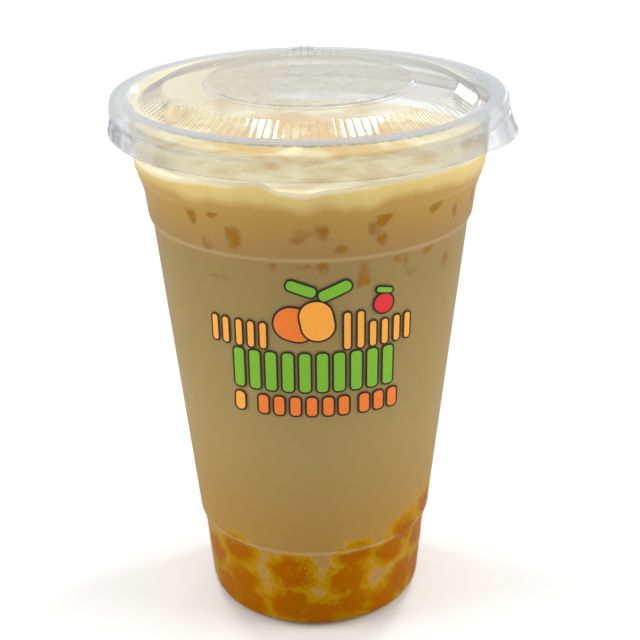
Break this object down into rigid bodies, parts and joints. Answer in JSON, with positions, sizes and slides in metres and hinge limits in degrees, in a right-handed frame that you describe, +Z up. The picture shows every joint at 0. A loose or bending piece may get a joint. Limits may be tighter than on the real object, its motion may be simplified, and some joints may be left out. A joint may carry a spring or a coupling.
{
  "type": "bubble tea",
  "caption": "Milk tea with amber fruit pearls and a yellow froth layer in a clear tapered plastic cup, closed by a clear flat lid with a fluted ring, lift tab and crossed straw slit.",
  "frame": {"origin": "centre of the cup's base, in the plane of its standing ring", "axes": "+Z up along the cup's axis; the front faces -Y; the lid's lift tab points to +X, turned a little to the front"},
  "size_m": [0.1036, 0.1024, 0.1458],
  "materials": {
    "cup_plastic": "clear thermoformed plastic, glossy",
    "lid_plastic": "clear thermoformed plastic, glossy",
    "milk_tea": "opaque milk tea seen through the wall",
    "froth": "yellowish milk froth",
    "fruit_pearls": "translucent amber pearls in syrup"
  },
  "bodies": {
    "root": {"cup": "cup_plastic", "lid": "lid_plastic", "tea": "milk_tea", "froth": "froth", "pearls": "fruit_pearls"}
  },
  "joints": []
}
